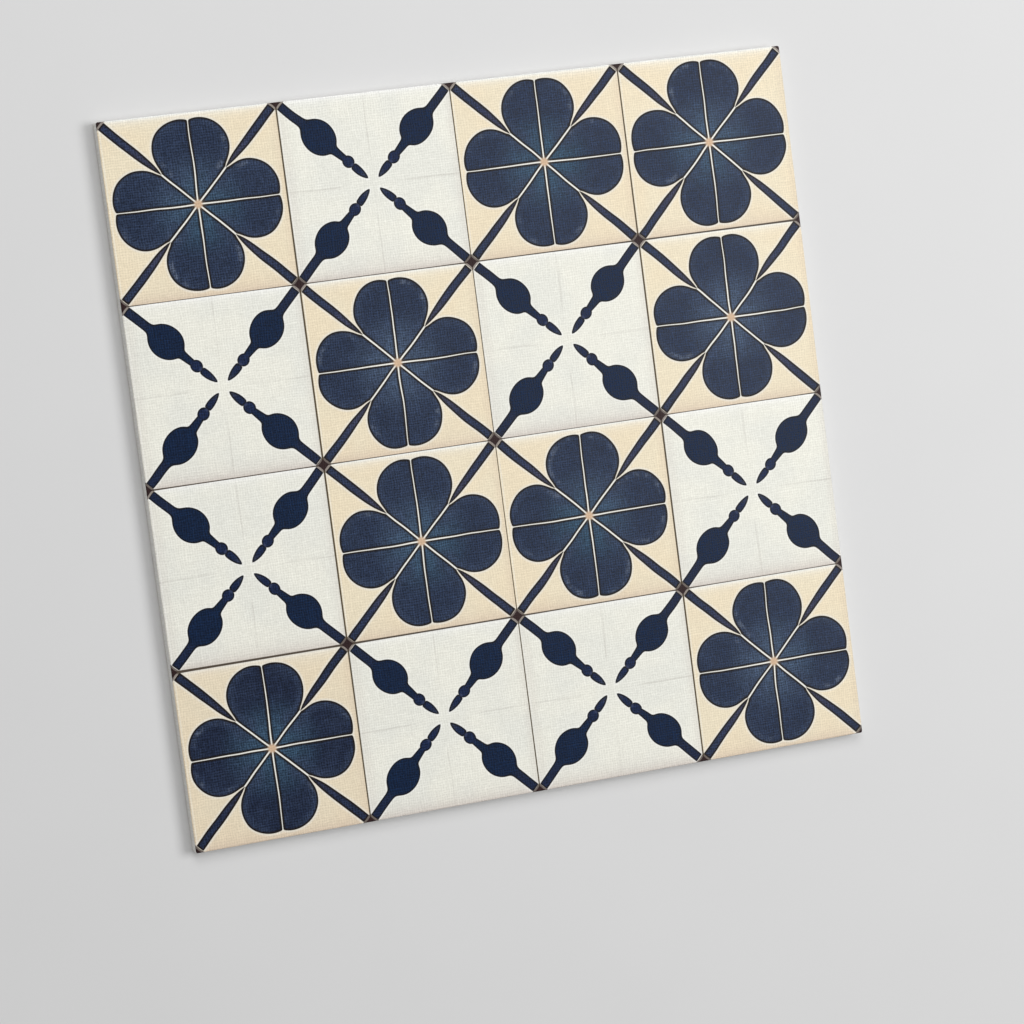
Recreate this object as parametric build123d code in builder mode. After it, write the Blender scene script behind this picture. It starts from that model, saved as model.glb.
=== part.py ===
from build123d import *
import os

os.makedirs("parts", exist_ok=True)

# Driving dimensions in millimetres
tile_side = 150.0  # edge of the square tile
vinyl_thickness = 3.1  # printed vinyl sheet together with its adhesive back
liner_thickness = 0.15  # peel-off backing paper
corner_radius = 0.4  # left in plan by the corner of the cutting die
edge_roll = 0.25  # the die presses the printed face over along the cut

# Backing paper: lies lowest, covers the adhesive and is cut flush with the tile
with BuildPart() as release_liner:
    with BuildSketch(Plane.XY):
        RectangleRounded(tile_side, tile_side, corner_radius)
    extrude(amount=liner_thickness)

release_liner.part.label = "release_liner"
export_step(release_liner.part, "parts/release_liner.step")

# Printed vinyl: sits on the paper, square at the back and rolled over at the face
with BuildPart() as vinyl_tile:
    with BuildSketch(Plane.XY.offset(liner_thickness)):
        RectangleRounded(tile_side, tile_side, corner_radius)
    extrude(amount=vinyl_thickness)
    printed_face = vinyl_tile.faces().sort_by(Axis.Z)[-1]
    fillet(printed_face.edges(), radius=edge_roll)

vinyl_tile.part.label = "vinyl_tile"
export_step(vinyl_tile.part, "parts/vinyl_tile.step")
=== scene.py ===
import bpy
import math
from mathutils import Matrix, Vector


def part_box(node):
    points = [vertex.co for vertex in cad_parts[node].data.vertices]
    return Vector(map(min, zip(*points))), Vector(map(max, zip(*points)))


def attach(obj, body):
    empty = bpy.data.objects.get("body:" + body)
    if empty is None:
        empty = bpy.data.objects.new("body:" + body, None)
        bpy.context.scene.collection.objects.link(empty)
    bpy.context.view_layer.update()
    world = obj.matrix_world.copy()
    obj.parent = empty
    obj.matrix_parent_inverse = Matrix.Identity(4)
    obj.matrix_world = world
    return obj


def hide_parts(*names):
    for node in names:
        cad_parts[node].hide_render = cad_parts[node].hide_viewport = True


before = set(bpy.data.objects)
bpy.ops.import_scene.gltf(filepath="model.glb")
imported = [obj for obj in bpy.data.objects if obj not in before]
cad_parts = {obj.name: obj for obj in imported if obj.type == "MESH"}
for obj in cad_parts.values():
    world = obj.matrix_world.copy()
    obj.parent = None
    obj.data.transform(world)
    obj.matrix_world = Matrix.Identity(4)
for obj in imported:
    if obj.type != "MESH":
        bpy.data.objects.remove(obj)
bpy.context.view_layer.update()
bpy.ops.object.select_all(action="DESELECT")
bpy.context.scene.view_settings.view_transform = "Standard"

# Backing paper
# The release paper that keeps the adhesive clean until the tile is laid: a thin bleached kraft
# sheet, silicone coated on the tile's side and cut flush with the tile by the same die.


def screen_colour(red, green, blue):
    """A colour read as screen values from 0 to 255, in the linear values that a shader takes."""
    linear = []
    for level in (red, green, blue):
        share = level / 255.0
        if share <= 0.04045:
            linear.append(share / 12.92)
        else:
            linear.append(((share + 0.055) / 1.055) ** 2.4)
    return (*linear, 1.0)


def feed(socket, value):
    """Joins an output to a socket, or sets the socket to a plain value."""
    if isinstance(value, bpy.types.NodeSocket):
        socket.id_data.links.new(value, socket)
    else:
        socket.default_value = value


def new_finish(name):
    """A material with its shader, its output and the place on the object that patterns are drawn by."""
    finish = bpy.data.materials.new(name)
    finish.use_nodes = True
    tree = finish.node_tree
    tree.nodes.clear()
    shader = tree.nodes.new("ShaderNodeBsdfPrincipled")
    output = tree.nodes.new("ShaderNodeOutputMaterial")
    feed(output.inputs["Surface"], shader.outputs["BSDF"])
    place = tree.nodes.new("ShaderNodeTexCoord").outputs["Object"]
    return finish, tree, shader, place


def mottle(tree, place, per_metre, detail):
    """Cloudy noise over the object, as a value of about 0.5, finer for more cells per metre."""
    stretched = tree.nodes.new("ShaderNodeMapping")
    feed(stretched.inputs["Vector"], place)
    stretched.inputs["Scale"].default_value = per_metre
    noise = tree.nodes.new("ShaderNodeTexNoise")
    feed(noise.inputs["Vector"], stretched.outputs["Vector"])
    noise.inputs["Scale"].default_value = 1.0
    noise.inputs["Detail"].default_value = detail
    return noise.outputs["Fac"]


def paint(under, ink, mask):
    """Lays an ink over a colour where the mask is 1. The numbers are the Mix node's colour sockets."""
    tree = mask.id_data
    mix = tree.nodes.new("ShaderNodeMix")
    mix.data_type = "RGBA"
    feed(mix.inputs[0], mask)
    feed(mix.inputs[6], under)
    feed(mix.inputs[7], ink)
    return mix.outputs[2]


def spread(value, low, high, to_low, to_high, smooth=True):
    """Brings a value from one range to another, held at both ends."""
    ranged = value.id_data.nodes.new("ShaderNodeMapRange")
    ranged.interpolation_type = "SMOOTHSTEP" if smooth else "LINEAR"
    for socket, number in zip(ranged.inputs, (value, low, high, to_low, to_high)):
        feed(socket, number)
    return ranged.outputs["Result"]


def raise_surface(shader, height, depth):
    """Gives the shader a relief of this depth in metres."""
    relief = height.id_data.nodes.new("ShaderNodeBump")
    relief.inputs["Strength"].default_value = 1.0
    relief.inputs["Distance"].default_value = depth
    feed(relief.inputs["Height"], height)
    feed(shader.inputs["Normal"], relief.outputs["Normal"])


backing_paper, tree, shader, place = new_finish("backing_paper")
paper_white = screen_colour(240, 239, 234)
paper_shade = screen_colour(234, 232, 226)
fibre_grey = screen_colour(222, 219, 210)
fibre_relief = 0.00001
clouds = mottle(tree, place, (260.0, 260.0, 260.0), 4.0)
fibres = mottle(tree, place, (350.0, 2600.0, 400.0), 3.0)
pulp = paint(paper_white, paper_shade, spread(clouds, 0.35, 0.7, 0.0, 1.0))
pulp = paint(pulp, fibre_grey, spread(fibres, 0.62, 0.78, 0.0, 0.6))
feed(shader.inputs["Base Color"], pulp)
feed(shader.inputs["Roughness"], spread(clouds, 0.3, 0.7, 0.5, 0.66))
shader.inputs["Specular IOR Level"].default_value = 0.35
raise_surface(shader, fibres, fibre_relief)
release_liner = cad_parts["release_liner"]
release_liner.data.materials.clear()
release_liner.data.materials.append(backing_paper)

# Printed vinyl
# The tile itself: a pale filled vinyl sheet under a linen embossed printed film, with its adhesive
# on the back. One sheet, die cut square; the die rolls the printed face over along the cut.
low_corner, high_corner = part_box("vinyl_tile")
tile_side = high_corner.x - low_corner.x
vinyl_thickness = high_corner.z - low_corner.z
corner_radius = 0.0004
edge_roll = 0.00025
round_steps = 5
mini_tiles = 4
mini_side = tile_side / mini_tiles
hair = 0.00001
merge_distance = 0.000001
sharpest_smooth_angle = 40.0

bpy.ops.mesh.primitive_plane_add(size=tile_side, location=(0.0, 0.0, low_corner.z))
printed_tile = bpy.context.object
printed_tile.name = "printed_tile"
printed_tile.data.name = "printed_tile"
bpy.ops.object.transform_apply(location=True, rotation=True, scale=True)
bpy.ops.object.mode_set(mode="EDIT")
bpy.ops.mesh.select_all(action="SELECT")
bpy.ops.mesh.bevel(offset=corner_radius, segments=round_steps, affect="VERTICES")
bpy.ops.mesh.select_all(action="SELECT")
bpy.ops.mesh.extrude_region_move(TRANSFORM_OT_translate={"value": (0.0, 0.0, vinyl_thickness)})
bpy.ops.object.mode_set(mode="OBJECT")


def choose_edges(piece, wanted):
    """Selects the edges of a piece that wanted says yes to, and nothing else."""
    bpy.ops.object.mode_set(mode="EDIT")
    bpy.ops.mesh.select_mode(type="EDGE")
    bpy.ops.mesh.select_all(action="DESELECT")
    bpy.ops.object.mode_set(mode="OBJECT")
    for edge in piece.data.edges:
        edge.select = wanted(edge)
    bpy.ops.object.mode_set(mode="EDIT")


def on_rim(edge):
    """An edge of the printed face's outline."""
    ends = [printed_tile.data.vertices[i].co for i in edge.vertices]
    return all(end.z > high_corner.z - hair for end in ends)


choose_edges(printed_tile, on_rim)
bpy.ops.mesh.bevel(offset=edge_roll, segments=round_steps, profile=0.5, affect="EDGES")

# The face is divided along the printed joints, so that each mini tile can carry its own motif
for step in (-1, 0, 1):
    for joint_normal in ((1.0, 0.0, 0.0), (0.0, 1.0, 0.0)):
        bpy.ops.mesh.select_all(action="SELECT")
        joint_point = Vector(joint_normal) * (step * mini_side)
        bpy.ops.mesh.bisect(plane_co=joint_point, plane_no=joint_normal)
bpy.ops.mesh.select_all(action="SELECT")
bpy.ops.mesh.remove_doubles(threshold=merge_distance)
bpy.ops.mesh.normals_make_consistent(inside=False)
bpy.ops.object.mode_set(mode="OBJECT")
bpy.ops.object.shade_smooth_by_angle(angle=math.radians(sharpest_smooth_angle))
flat_faces = printed_tile.modifiers.new("flat_faces", "WEIGHTED_NORMAL")
flat_faces.mode = "FACE_AREA"
flat_faces.weight = 100
flat_faces.keep_sharp = True
bpy.ops.object.modifier_apply(modifier="flat_faces")


class Drawn:
    """A number that changes over the print, carried by a socket, for plain sums in millimetres."""

    def __init__(self, socket):
        self.socket = socket

    def __add__(self, other):
        return figured("ADD", self, other)

    def __sub__(self, other):
        return figured("SUBTRACT", self, other)

    def __rsub__(self, other):
        return figured("SUBTRACT", other, self)

    def __mul__(self, other):
        return figured("MULTIPLY", self, other)

    def __truediv__(self, other):
        return figured("DIVIDE", self, other)


def figured(operation, *values):
    """One Math node over numbers and drawn values."""
    tree = next(value.socket.id_data for value in values if isinstance(value, Drawn))
    node = tree.nodes.new("ShaderNodeMath")
    node.operation = operation
    for socket, value in zip(node.inputs, values):
        feed(socket, value.socket if isinstance(value, Drawn) else value)
    return Drawn(node.outputs[0])


def smaller(first, second):
    """The smaller of two numbers, which joins two shapes."""
    return figured("MINIMUM", first, second)


def larger(first, second):
    """The larger of two numbers, which keeps what two shapes share."""
    return figured("MAXIMUM", first, second)


def size_of(value):
    """A number without its sign."""
    return figured("ABSOLUTE", value)


def reach(along, across):
    """How far a point is from the spot that both are measured from."""
    return figured("SQRT", along * along + across * across)


def inside(distance, soft=0.06):
    """1 where the distance to an outline is below nought, softened as ink spreads."""
    return Drawn(spread(distance.socket, soft, -soft, 0.0, 1.0))


def fade(distance, near, far):
    """1 up to near, falling to 0 at far."""
    return Drawn(spread(distance.socket, near, far, 1.0, 0.0))


def tint(under, ink, mask, share=1.0):
    """Lays an ink over a colour by a drawn mask, at a share of its full strength."""
    if share < 1.0:
        mask = mask * share
    return paint(under, ink, mask.socket)


def new_effect(name, inputs, outputs):
    """A node group with these inputs and outputs, each a name and a socket kind."""
    effect = bpy.data.node_groups.new(name, "ShaderNodeTree")
    for label, kind in inputs:
        effect.interface.new_socket(label, in_out="INPUT", socket_type=kind)
    for label, kind in outputs:
        effect.interface.new_socket(label, in_out="OUTPUT", socket_type=kind)
    start = effect.nodes.new("NodeGroupInput")
    end = effect.nodes.new("NodeGroupOutput")
    return effect, start, end


def use_effect(tree, effect, place):
    """Puts a node group into a material and gives its outputs by name."""
    node = tree.nodes.new("ShaderNodeGroup")
    node.node_tree = effect
    feed(node.inputs["Place"], place)
    return node.outputs


value_kind = "NodeSocketFloat"
vector_kind = "NodeSocketVector"
mm_per_metre = 1000.0
to_diagonal = math.sqrt(0.5)

# Linen embossing: uneven threads both ways, about two to the millimetre, with longer slubs
linen, start, end = new_effect(
    "linen_embossing",
    [("Place", vector_kind)],
    [("Threads", value_kind), ("Clouds", value_kind)],
)
threads_per_mm = 1.9
thread_stray = 9.0
slub_height = 0.7
thread_share = 0.3
slub_share = 0.25
nap_share = 0.65
linen_place = start.outputs["Place"]
split = linen.nodes.new("ShaderNodeSeparateXYZ")
feed(split.inputs["Vector"], linen_place)
thread_turns = 2.0 * math.pi * threads_per_mm * mm_per_metre
weft_stray = Drawn(mottle(linen, linen_place, (250.0, 500.0, 100.0), 1.0)) * thread_stray
warp_stray = Drawn(mottle(linen, linen_place, (500.0, 250.0, 100.0), 1.0)) * thread_stray
weft_slub = Drawn(mottle(linen, linen_place, (500.0, 2600.0, 100.0), 0.0)) * slub_height
warp_slub = Drawn(mottle(linen, linen_place, (2600.0, 500.0, 100.0), 0.0)) * slub_height
weft = figured("SINE", Drawn(split.outputs["Y"]) * thread_turns + weft_stray) * weft_slub
warp = figured("SINE", Drawn(split.outputs["X"]) * thread_turns + warp_stray) * warp_slub
nap = Drawn(mottle(linen, linen_place, (3600.0, 3600.0, 100.0), 0.0))
threads = (weft + warp) * thread_share + (weft_slub + warp_slub) * slub_share + nap * nap_share
feed(end.inputs["Threads"], threads.socket)
feed(end.inputs["Clouds"], mottle(linen, linen_place, (110.0, 110.0, 110.0), 1.0))

# Mini tile borders: where each of the sixteen printed tiles lies, its light and shaded edges,
# the brown joints between the tiles and the small brown diamond where four corners meet
borders, start, end = new_effect(
    "mini_tile_borders",
    [("Place", vector_kind)],
    [
        ("Across", value_kind),
        ("Up", value_kind),
        ("Head", value_kind),
        ("Foot", value_kind),
        ("Left", value_kind),
        ("Left shade", value_kind),
        ("Right", value_kind),
        ("Upright joint", value_kind),
        ("Level joint", value_kind),
        ("Corner", value_kind),
        ("Corner rim", value_kind),
        ("Deep print and shade", value_kind),
    ],
)
mini = mini_side * mm_per_metre
half = mini / 2.0
hand_drift = 0.6
head_light_depth = 0.65
foot_shade_depth = 1.5
left_light_inset = 0.42
joints_end = 72.0
upright_half_width = 0.148
upright_change = 0.05
level_half_width = 0.213
level_change = 0.138
level_flare = 0.08
level_flare_length = 2.5
corner_mark = 0.86
corner_rim_reach = 1.27
corner_hollow = 0.1
borders_place = start.outputs["Place"]
split = borders.nodes.new("ShaderNodeSeparateXYZ")
feed(split.inputs["Vector"], borders_place)
sheet_x = Drawn(split.outputs["X"]) * mm_per_metre
sheet_y = Drawn(split.outputs["Y"]) * mm_per_metre
across = figured("FRACT", sheet_x / mini) * mini - half
up = figured("FRACT", sheet_y / mini) * mini - half
sway = Drawn(mottle(borders, borders_place, (130.0, 110.0, 90.0), 1.0)) - 0.5
lift = Drawn(mottle(borders, borders_place, (105.0, 135.0, 70.0), 1.0)) - 0.5
feed(end.inputs["Across"], (across + sway * hand_drift).socket)
feed(end.inputs["Up"], (up + lift * hand_drift).socket)

from_head = half - up
from_foot = up + half
from_left = across + half
from_right = half - across
feed(end.inputs["Head"], figured("EXPONENT", from_head / -head_light_depth).socket)
feed(end.inputs["Foot"], figured("EXPONENT", from_foot / -foot_shade_depth).socket)
feed(end.inputs["Left"], fade(size_of(from_left - left_light_inset), 0.0, 0.22).socket)
feed(end.inputs["Left shade"], fade(from_left, 1.0, 3.0).socket)
feed(end.inputs["Right"], fade(from_right, 0.2, 2.2).socket)

# The joints grow wider and narrower over the sheet in a slow wave, and stop short of its edges
beside = smaller(from_left, from_right)
above = smaller(from_head, from_foot)
upright_wave = figured("SINE", sheet_x * 0.088 + sheet_y * 0.0187 + 4.65)
upright_joint = inside(beside - upright_half_width - upright_wave * upright_change)
upright_joint = upright_joint * inside(size_of(sheet_x) - joints_end)
level_wave = figured("SINE", sheet_x * 0.0107 + sheet_y * 0.024 + 1.4)
level_reach = figured("EXPONENT", beside / -level_flare_length) * level_flare
level_reach = level_reach + level_half_width - level_wave * level_change
level_joint = inside(above - level_reach) * inside(size_of(sheet_y) - joints_end)
to_corner = (beside + above) * to_diagonal + smaller(beside, above) * corner_hollow
feed(end.inputs["Upright joint"], upright_joint.socket)
feed(end.inputs["Level joint"], level_joint.socket)
feed(end.inputs["Corner"], inside(to_corner - corner_mark).socket)
feed(end.inputs["Corner rim"], inside(to_corner - corner_rim_reach).socket)

# The mini tile at the foot of the left column is darker: partly its print, partly painted shade
deep_spot = reach(sheet_x + 1.5 * mini, sheet_y + 1.5 * mini)
feed(end.inputs["Deep print and shade"], fade(deep_spot, 22.0, 34.0).socket)

upright_brown = screen_colour(80, 69, 50)
level_brown = screen_colour(80, 70, 60)
corner_brown = screen_colour(44, 28, 28)
rim_light = screen_colour(145, 136, 129)
rim_dark = screen_colour(108, 99, 93)
linen_shade = 0.36
linen_relief = 0.00002
print_shine = 0.085


def woven(colour, weave, depth):
    """Lightens and darkens a colour with the threads of the linen."""
    shaded = colour.id_data.nodes.new("ShaderNodeVectorMath")
    shaded.operation = "SCALE"
    feed(shaded.inputs[0], colour)
    feed(shaded.inputs["Scale"], ((weave - 0.5) * depth + 1.0).socket)
    return shaded.outputs["Vector"]


def finish_print(shader, colour, weave, border_parts):
    """Lays the corner marks and joints over a motif, then the linen over the whole print."""
    corner_rim = tint(rim_light, rim_dark, fade(Drawn(border_parts["Up"]), -1.0, 1.0))
    colour = paint(colour, corner_rim, border_parts["Corner rim"])
    colour = paint(colour, level_brown, border_parts["Level joint"])
    colour = paint(colour, upright_brown, border_parts["Upright joint"])
    colour = paint(colour, corner_brown, border_parts["Corner"])
    feed(shader.inputs["Base Color"], woven(colour, weave, linen_shade))
    feed(shader.inputs["Roughness"], spread(weave.socket, 0.35, 0.65, 0.29, 0.39, False))
    shader.inputs["Specular IOR Level"].default_value = print_shine
    raise_surface(shader, weave.socket, linen_relief)


# Quatrefoil print: a four petalled flower in washed navy on cream, each petal split by a fine line,
# with four tapered bars running out to the corners
quatrefoil_print, tree, shader, place = new_finish("quatrefoil_print")
linen_parts = use_effect(tree, linen, place)
border_parts = use_effect(tree, borders, place)
weave = Drawn(linen_parts["Threads"])
clouds = Drawn(linen_parts["Clouds"])
deep_print_and_shade = Drawn(border_parts["Deep print and shade"])
across = Drawn(border_parts["Across"])
up = Drawn(border_parts["Up"])
side_x = size_of(across)
side_y = size_of(up)
along = larger(side_x, side_y)
aside = smaller(side_x, side_y)
diagonal = (along + aside) * to_diagonal
off_diagonal = (along - aside) * to_diagonal
from_centre = reach(across, up)

# Each petal is two round lobes drawn into the centre, parted by a line that thins outwards
lobe_out = 11.45
lobe_aside = 2.06
lobe_radius = 6.12
heart_reach = 9.0
heart_round = 3.1
axis_half_gap = 0.156
axis_gap_loss = 0.0045
axis_round = 0.5
diagonal_half_gap = 0.16
lobe = reach(along - lobe_out, aside - lobe_aside) - lobe_radius
outline = figured("SMOOTH_MIN", lobe, diagonal - heart_reach, heart_round)
axis_gap = axis_half_gap - from_centre * axis_gap_loss
petal = figured("SMOOTH_MAX", outline, axis_gap - aside, axis_round)
petal = larger(petal, diagonal_half_gap - off_diagonal)

# Each bar swells from a point between two petals and ends at the corner mark
bar_start = 9.55
bar_full_half_width = 0.965
bar_swell = 2.85
bar_end = 25.3
bar_end_round = 0.35
bar_half_width = 1.0 - figured("EXPONENT", (diagonal - bar_start) / -bar_swell)
bar = larger(off_diagonal - bar_half_width * bar_full_half_width, bar_start - diagonal)
bar = figured("SMOOTH_MAX", bar, diagonal - bar_end, bar_end_round)

# Ground: cream, lit at the head, browned at the foot and paler round the motif
cream = screen_colour(235, 223, 196)
cream_warm = screen_colour(238, 216, 182)
cream_head = screen_colour(246, 249, 247)
cream_foot = screen_colour(212, 192, 172)
halo_white = screen_colour(236, 231, 219)
colour = tint(cream, cream_warm, fade(clouds, 0.65, 0.35), 0.25)
colour = tint(colour, cream_foot, Drawn(border_parts["Foot"]), 0.8)
colour = paint(colour, cream_head, border_parts["Head"])
colour = tint(colour, cream_head, Drawn(border_parts["Left"]), 0.35)
colour = tint(colour, cream_foot, Drawn(border_parts["Right"]), 0.25)
# Painted shade and darker print: the ground is browned over the lower left mini tile
colour = tint(colour, cream_foot, deep_print_and_shade, 0.15)
colour = tint(colour, halo_white, fade(smaller(petal, bar), 0.1, 0.6), 0.75)

# Petal ink: navy with a glow round the centre, washed along the rims, scuffed and dark edged
navy = screen_colour(34, 46, 69)
navy_deep = screen_colour(26, 36, 58)
navy_glow = screen_colour(64, 80, 103)
glow_teal = screen_colour(38, 72, 92)
navy_wash = screen_colour(47, 59, 82)
scuff_grey = screen_colour(88, 98, 116)
navy_edge = screen_colour(20, 12, 6)
ink_grain = 1.9
scuff_inset = 0.95
firing = mottle(tree, place, (16.0, 16.0, 16.0), 0.0)
glow = paint(navy_glow, glow_teal, spread(firing, 0.45, 0.7, 0.0, 0.7))
# Deeper, tealer ink over the lower left mini tile: partly its print, partly painted shade
glow = tint(glow, glow_teal, deep_print_and_shade, 0.5)
petal_ink = tint(navy, navy_deep, deep_print_and_shade)
petal_ink = tint(petal_ink, glow, fade(from_centre, 2.5, 12.0), 0.95)
crescent = fade(lobe * -1.0, 0.2, 2.4) * fade(aside * -1.0, -4.0, -1.5)
petal_ink = tint(petal_ink, navy_wash, crescent, 0.7)
wash = Drawn(mottle(tree, place, (220.0, 220.0, 220.0), 2.0))
petal_ink = tint(petal_ink, navy_wash, fade(wash, 0.62, 0.45), 0.2)
scuffs = mottle(tree, place, (520.0, 520.0, 520.0), 3.0)
scuffs = Drawn(spread(scuffs, 0.5, 0.66, 0.0, 1.0))
scuffed_spots = mottle(tree, place, (75.0, 75.0, 75.0), 0.0)
scuffed_spots = Drawn(spread(scuffed_spots, 0.5, 0.62, 0.0, 1.0))
rubbed_rim = fade(size_of(outline + scuff_inset), 0.15, 0.75) * fade(aside * -1.0, -3.0, -1.2)
petal_ink = tint(petal_ink, scuff_grey, scuffs * scuffed_spots * rubbed_rim, 0.6)
petal_ink = woven(petal_ink, weave, ink_grain)
petal_ink = tint(petal_ink, navy_edge, fade(petal * -1.0, 0.2, 0.6), 0.97)

# Bar ink: greyer at the thin end
navy_bar = screen_colour(43, 51, 78)
bar_grey = screen_colour(56, 58, 78)
bar_ink = tint(navy_bar, navy, fade(diagonal * -1.0, -23.0, -15.0), 0.6)
bar_ink = tint(bar_ink, bar_grey, fade(diagonal, 12.5, 19.0), 0.85)
# Deeper bar ink over the lower left mini tile: partly its print, partly painted shade
bar_ink = tint(bar_ink, navy_deep, deep_print_and_shade, 0.6)
bar_ink = woven(bar_ink, weave, ink_grain)
bar_ink = tint(bar_ink, navy_edge, fade(bar * -1.0, 0.2, 0.6), 0.95)

line_white = screen_colour(241, 240, 232)
centre_tan = screen_colour(209, 179, 149)
centre_dot = larger(fade(from_centre, 0.5, 1.25), fade(from_centre, 0.6, 2.2) * 0.08)
colour = tint(colour, line_white, inside(outline))
colour = tint(colour, bar_ink, inside(bar))
colour = tint(colour, petal_ink, inside(petal))
colour = tint(colour, centre_tan, centre_dot)
finish_print(shader, colour, weave, border_parts)

# Baluster print: four turned spindles in solid navy on white, each with a bead, a neck and a ball,
# joined to the corner by a plain bar
baluster_print, tree, shader, place = new_finish("baluster_print")
linen_parts = use_effect(tree, linen, place)
border_parts = use_effect(tree, borders, place)
weave = Drawn(linen_parts["Threads"])
clouds = Drawn(linen_parts["Clouds"])
across = Drawn(border_parts["Across"])
up = Drawn(border_parts["Up"])
side_x = size_of(across)
side_y = size_of(up)
along = (side_x + side_y) * to_diagonal
aside = size_of(side_x - side_y) * to_diagonal

# The tip is a slim leaf between two arcs, cut off towards the bead
tip_arc_at = 4.5
tip_arc_aside = 5.4
tip_arc_radius = 6.26
tip_middle = 3.6
tip_half_length = 2.12
tip_round = 0.7
tip = reach(along - tip_arc_at, aside + tip_arc_aside) - tip_arc_radius
tip = figured("SMOOTH_MAX", tip, size_of(along - tip_middle) - tip_half_length, tip_round)

# The bead and the ball are ovals, and the neck widens slowly from one to the other
bead_middle = 6.94
bead_half_length = 1.39
bead_half_width = 1.27
bead_mean_radius = 1.33
bead = reach((along - bead_middle) / bead_half_length, aside / bead_half_width)
bead = (bead - 1.0) * bead_mean_radius
ball_middle = 14.95
ball_half_length = 4.18
ball_half_width = 3.48
ball_mean_radius = 3.78
ball = reach((along - ball_middle) / ball_half_length, aside / ball_half_width)
ball = (ball - 1.0) * ball_mean_radius
neck_start = 8.3
neck_slope = 0.09
neck_half_width = 0.79
neck_middle = 9.9
neck_half_length = 2.4
neck_round = 0.8
neck = aside - (along - neck_start) * neck_slope - neck_half_width
neck = larger(neck, size_of(along - neck_middle) - neck_half_length)

# The bar runs from inside the ball to the corner mark, and narrows a little on the way
bar_half_width = 1.17
bar_narrowing = 0.007
bar_start = 18.0
bar_round = 1.4
bar = larger(aside - bar_half_width + along * bar_narrowing, bar_start - along)
turned = figured("SMOOTH_MIN", ball, neck, neck_round)
turned = figured("SMOOTH_MIN", turned, bar, bar_round)
turned = smaller(turned, smaller(tip, bead))
turned = figured("SMOOTH_MAX", turned, along - bar_end, bar_end_round)

# Ground: off white with faint folds across the middle, lit at the head and shaded at the foot
white = screen_colour(236, 235, 224)
white_cloud = screen_colour(231, 231, 222)
white_head = screen_colour(249, 249, 247)
white_foot = screen_colour(208, 199, 191)
fold_grey = screen_colour(198, 195, 187)
upright_fold_at = -0.18
level_fold_at = -0.08
fold = smaller(size_of(across - upright_fold_at), size_of(up - level_fold_at))
fold = fade(fold, 0.04, 0.32) * fade(larger(side_x, side_y) * -1.0, -9.0, -5.0)
fold = fold * fade(clouds, 0.8, 0.1)
colour = tint(white, white_cloud, fade(clouds, 0.65, 0.35))
colour = tint(colour, fold_grey, fold, 0.52)
colour = paint(colour, white_foot, border_parts["Foot"])
colour = paint(colour, white_head, border_parts["Head"])
colour = tint(colour, white_head, Drawn(border_parts["Left"]), 0.35)
colour = tint(colour, white_foot, Drawn(border_parts["Left shade"]), 0.2)
colour = tint(colour, white_foot, Drawn(border_parts["Right"]), 0.27)
colour = tint(colour, white_head, fade(turned, 0.1, 0.5), 0.4)

# Baluster ink: deepest on the ball, worn grey at the tip, with a dark edge and a nick by the bead
ball_navy = screen_colour(7, 28, 56)
bead_navy = screen_colour(19, 33, 64)
bar_navy = screen_colour(21, 33, 59)
tip_grey = screen_colour(56, 62, 80)
nick_blue = screen_colour(54, 64, 96)
turned_edge = screen_colour(8, 10, 20)
turned_grain = 1.6
nick_at = 5.9
nick_stretch = 0.6
turned_ink = tint(ball_navy, bead_navy, fade(along, 8.0, 9.0))
turned_ink = tint(turned_ink, bar_navy, fade(along * -1.0, -20.5, -18.5))
turned_ink = tint(turned_ink, tip_grey, fade(along, 2.0, 4.0), 0.7)
turned_ink = woven(turned_ink, weave, turned_grain)
turned_ink = tint(turned_ink, turned_edge, fade(turned * -1.0, 0.16, 0.5), 0.95)
nick = fade(reach(along - nick_at, aside * nick_stretch), 0.1, 0.4)
turned_ink = tint(turned_ink, nick_blue, nick, 0.75)
colour = tint(colour, turned_ink, inside(turned))
finish_print(shader, colour, weave, border_parts)

# Cut edge: the pale filled vinyl that the die lays bare, with the film's pale line on top and the
# adhesive's thin tan line at the foot
cut_edge, tree, shader, place = new_finish("cut_edge")
core_pale = screen_colour(231, 230, 226)
core_grey = screen_colour(222, 221, 216)
filler_grey = screen_colour(200, 198, 192)
glue_tan = screen_colour(206, 196, 168)
film_pale = screen_colour(236, 234, 226)
glue_depth = 0.12
film_depth = 0.4
line_soft = 0.03
drag_relief = 0.000003
split = tree.nodes.new("ShaderNodeSeparateXYZ")
feed(split.inputs["Vector"], place)
up_edge = Drawn(split.outputs["Z"]) * mm_per_metre
drag = mottle(tree, place, (2400.0, 2400.0, 160.0), 2.0)
filler = mottle(tree, place, (5000.0, 5000.0, 5000.0), 1.0)
core = paint(core_pale, core_grey, spread(drag, 0.4, 0.65, 0.0, 1.0))
core = paint(core, filler_grey, spread(filler, 0.62, 0.78, 0.0, 0.5))
glue_top = low_corner.z * mm_per_metre + glue_depth
film_foot = high_corner.z * mm_per_metre - film_depth
core = tint(core, glue_tan, inside(up_edge - glue_top, line_soft))
core = tint(core, film_pale, inside(film_foot - up_edge, line_soft))
feed(shader.inputs["Base Color"], core)
feed(shader.inputs["Roughness"], spread(drag, 0.35, 0.65, 0.55, 0.72))
shader.inputs["Specular IOR Level"].default_value = 0.3
raise_surface(shader, drag, drag_relief)

# Adhesive: a milky acrylic film rolled over the back, hidden by the paper
adhesive_film, tree, shader, place = new_finish("adhesive_film")
adhesive_milky = screen_colour(206, 203, 190)
adhesive_shade = screen_colour(188, 184, 168)
ripple_relief = 0.00003
ripple = mottle(tree, place, (260.0, 260.0, 260.0), 3.0)
film = paint(adhesive_milky, adhesive_shade, spread(ripple, 0.35, 0.65, 0.0, 1.0))
feed(shader.inputs["Base Color"], film)
feed(shader.inputs["Roughness"], spread(ripple, 0.3, 0.7, 0.25, 0.42))
raise_surface(shader, ripple, ripple_relief)

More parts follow.
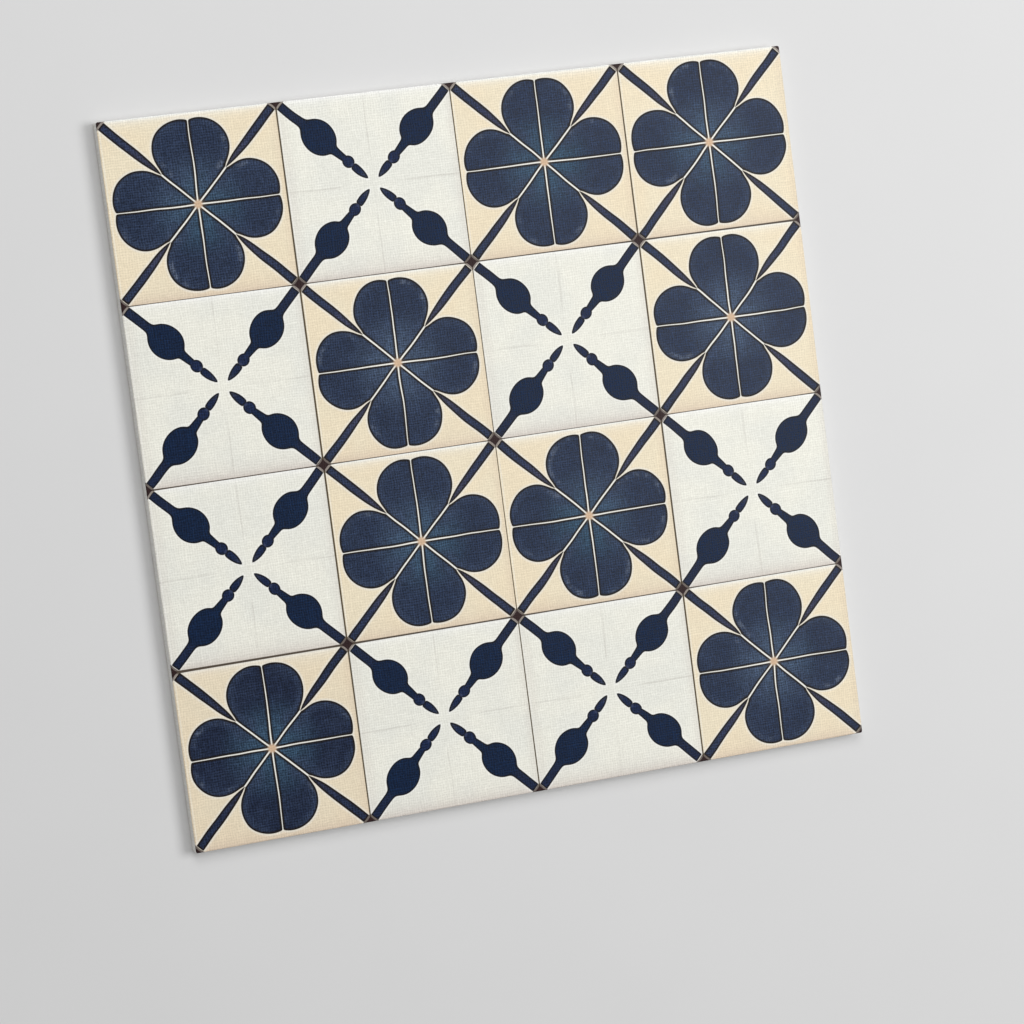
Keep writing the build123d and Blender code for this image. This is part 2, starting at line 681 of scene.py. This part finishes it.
# Which motif each mini tile carries, from the top row down: Q quatrefoil, B baluster
patchwork = ("QBQQ", "BQBQ", "BQQB", "QBBQ")
finishes = [quatrefoil_print, baluster_print, cut_edge, adhesive_film]
printed_tile.data.materials.clear()
for finish in finishes:
    printed_tile.data.materials.append(finish)
roll_foot = high_corner.z - edge_roll
for face in printed_tile.data.polygons:
    column = min(int((face.center.x + tile_side / 2) / mini_side), mini_tiles - 1)
    row = min(int((tile_side / 2 - face.center.y) / mini_side), mini_tiles - 1)
    if face.center.z > roll_foot:
        face.material_index = "QB".index(patchwork[row][column])
    elif face.normal.z < -0.5:
        face.material_index = finishes.index(adhesive_film)
    else:
        face.material_index = finishes.index(cut_edge)

# The sheet unrolled for baking: the printed face large, the four cut edges as strips beside it and
# the back small in the corner
map_layer = printed_tile.data.uv_layers.new(name="OFBake")
face_share = 0.926
unrolled_gain = 0.0003
map_scale = face_share / (tile_side + unrolled_gain)
face_middle = Vector((0.467, 0.533))
back_middle = Vector((0.969, 0.033))
back_share = 0.05
back_scale = back_share / tile_side
strip_starts = {"right": 0.944, "left": 0.976, "top": 0.0389, "bottom": 0.0069}
core_reach = tile_side / 2 - corner_radius
mesh = printed_tile.data
for face in mesh.polygons:
    finish = finishes[face.material_index]
    for corner in face.loop_indices:
        spot = mesh.vertices[mesh.loops[corner].vertex_index].co
        flat = Vector((spot.x, spot.y))
        up_strip = (spot.z - low_corner.z) * map_scale
        if finish in (quatrefoil_print, baluster_print):
            sunk = min(max((high_corner.z - spot.z) / edge_roll, 0.0), 1.0)
            turn = math.acos(1.0 - sunk)
            near = Vector([min(max(value, -core_reach), core_reach) for value in flat])
            outward = flat - near
            if outward.length > 0.0:
                outward.normalize()
            spread_out = flat + outward * edge_roll * (turn - math.sin(turn))
            at = face_middle + spread_out * map_scale
        elif finish is adhesive_film:
            at = back_middle + flat * back_scale
        elif abs(face.normal.x) >= abs(face.normal.y):
            side = "right" if face.normal.x > 0.0 else "left"
            at = Vector((strip_starts[side] + up_strip, face_middle.y + spot.y * map_scale))
        else:
            side = "top" if face.normal.y > 0.0 else "bottom"
            at = Vector((face_middle.x + spot.x * map_scale, strip_starts[side] + up_strip))
        map_layer.data[corner].uv = at

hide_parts("vinyl_tile")
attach(printed_tile, "root")

# Floor
# A plain pale table top under the tile, a hair below the paper and wide enough to fill every view.
# Far from the tile it passes into the even pale tone of the backdrop.
floor_width = 6.0
floor_drop = 0.00005
floor_pale = screen_colour(220, 220, 220)
floor_shade = screen_colour(217, 217, 217)
backdrop_pale = screen_colour(213, 213, 213)
bpy.ops.object.select_all(action="DESELECT")
bpy.ops.mesh.primitive_plane_add(size=floor_width, location=(0.0, 0.0, -floor_drop))
floor = bpy.context.object
floor.name = "floor"
bpy.ops.object.transform_apply(location=True, rotation=True, scale=True)
floor_finish, tree, shader, place = new_finish("floor_finish")
floor_tone = paint(floor_pale, floor_shade, mottle(tree, place, (30.0, 30.0, 30.0), 3.0))
feed(shader.inputs["Base Color"], floor_tone)
shader.inputs["Roughness"].default_value = 0.8
shader.inputs["Specular IOR Level"].default_value = 0.2


def seen_directly(tree):
    """1 for what the camera sees, also by reflection or through glass, and 0 for light on the tile."""
    path = tree.nodes.new("ShaderNodeLightPath")
    seen = Drawn(path.outputs["Is Camera Ray"])
    seen = larger(seen, Drawn(path.outputs["Is Glossy Ray"]))
    return larger(seen, Drawn(path.outputs["Is Transmission Ray"]))


far_floor = tree.nodes.new("ShaderNodeEmission")
far_floor.inputs["Color"].default_value = backdrop_pale
far_floor.inputs["Strength"].default_value = 1.0
out_from_tile = tree.nodes.new("ShaderNodeVectorMath")
out_from_tile.operation = "LENGTH"
feed(out_from_tile.inputs[0], place)
far = Drawn(spread(out_from_tile.outputs["Value"], 0.2, 0.75, 0.0, 1.0)) * seen_directly(tree)
evened = tree.nodes.new("ShaderNodeMixShader")
feed(evened.inputs[0], far.socket)
feed(evened.inputs[1], shader.outputs["BSDF"])
feed(evened.inputs[2], far_floor.outputs["Emission"])
feed(tree.nodes["Material Output"].inputs["Surface"], evened.outputs["Shader"])
floor.data.materials.append(floor_finish)

# Light
# Even light all round and two large soft lamps, one beyond the tile's top and one on its right,
# as by a window and a white wall.
face_centre = Vector((0.0, 0.0, high_corner.z))
lamp_rise = 57.0
lamp_width = 0.5
sky_strength = 0.3


def direction(turn, rise):
    """The way to a spot that lies this many degrees round from the right and above the table."""
    turn = math.radians(turn)
    rise = math.radians(rise)
    return Vector((
        math.cos(rise) * math.cos(turn),
        math.cos(rise) * math.sin(turn),
        math.sin(rise),
    ))


def soft_lamp(name, turn, distance, watts):
    """A round soft lamp that faces the tile."""
    light = bpy.data.lights.new(name, "AREA")
    light.shape = "DISK"
    light.size = lamp_width
    light.energy = watts
    lamp = bpy.data.objects.new(name, light)
    bpy.context.scene.collection.objects.link(lamp)
    way = direction(turn, lamp_rise)
    lamp.location = face_centre + way * distance
    lamp.rotation_euler = way.to_track_quat("Z", "Y").to_euler()


soft_lamp("top_lamp", 100.0, 0.80, 2.1)
soft_lamp("right_lamp", 6.0, 0.83, 3.85)
world = bpy.data.worlds.new("studio")
world.use_nodes = True
bpy.context.scene.world = world
tree = world.node_tree
sky = tree.nodes["Background"]
sky.inputs["Color"].default_value = (1.0, 1.0, 1.0, 1.0)
sky.inputs["Strength"].default_value = sky_strength
backdrop = tree.nodes.new("ShaderNodeBackground")
backdrop.inputs["Color"].default_value = backdrop_pale
backdrop.inputs["Strength"].default_value = 1.0
shown = tree.nodes.new("ShaderNodeMixShader")
feed(shown.inputs[0], seen_directly(tree).socket)
feed(shown.inputs[1], sky.outputs["Background"])
feed(shown.inputs[2], backdrop.outputs["Background"])
feed(tree.nodes["World Output"].inputs["Surface"], shown.outputs["Shader"])

# Camera
# Looks down on the lying tile from its left, and is turned a little, so that the tile stands askew
# in the picture.
aim = face_centre + Vector((0.00172, -0.01556, 0.0))
camera_way = direction(165.9, 71.6)
camera_distance = 0.708
picture_turn = math.radians(7.74)
picture_up = Vector((math.sin(picture_turn), math.cos(picture_turn), 0.0))
camera_right = picture_up.cross(camera_way).normalized()
camera_up = camera_way.cross(camera_right)
camera_data = bpy.data.cameras.new("camera")
camera_data.sensor_width = 36.0
camera_data.lens = 118.39
camera_data.clip_start = 0.01
camera = bpy.data.objects.new("camera", camera_data)
bpy.context.scene.collection.objects.link(camera)
camera_axes = Matrix((camera_right, camera_up, camera_way)).transposed().to_4x4()
camera.matrix_world = Matrix.Translation(aim + camera_way * camera_distance) @ camera_axes
bpy.context.scene.camera = camera

# The view layer is brought up to date.
bpy.context.view_layer.update()
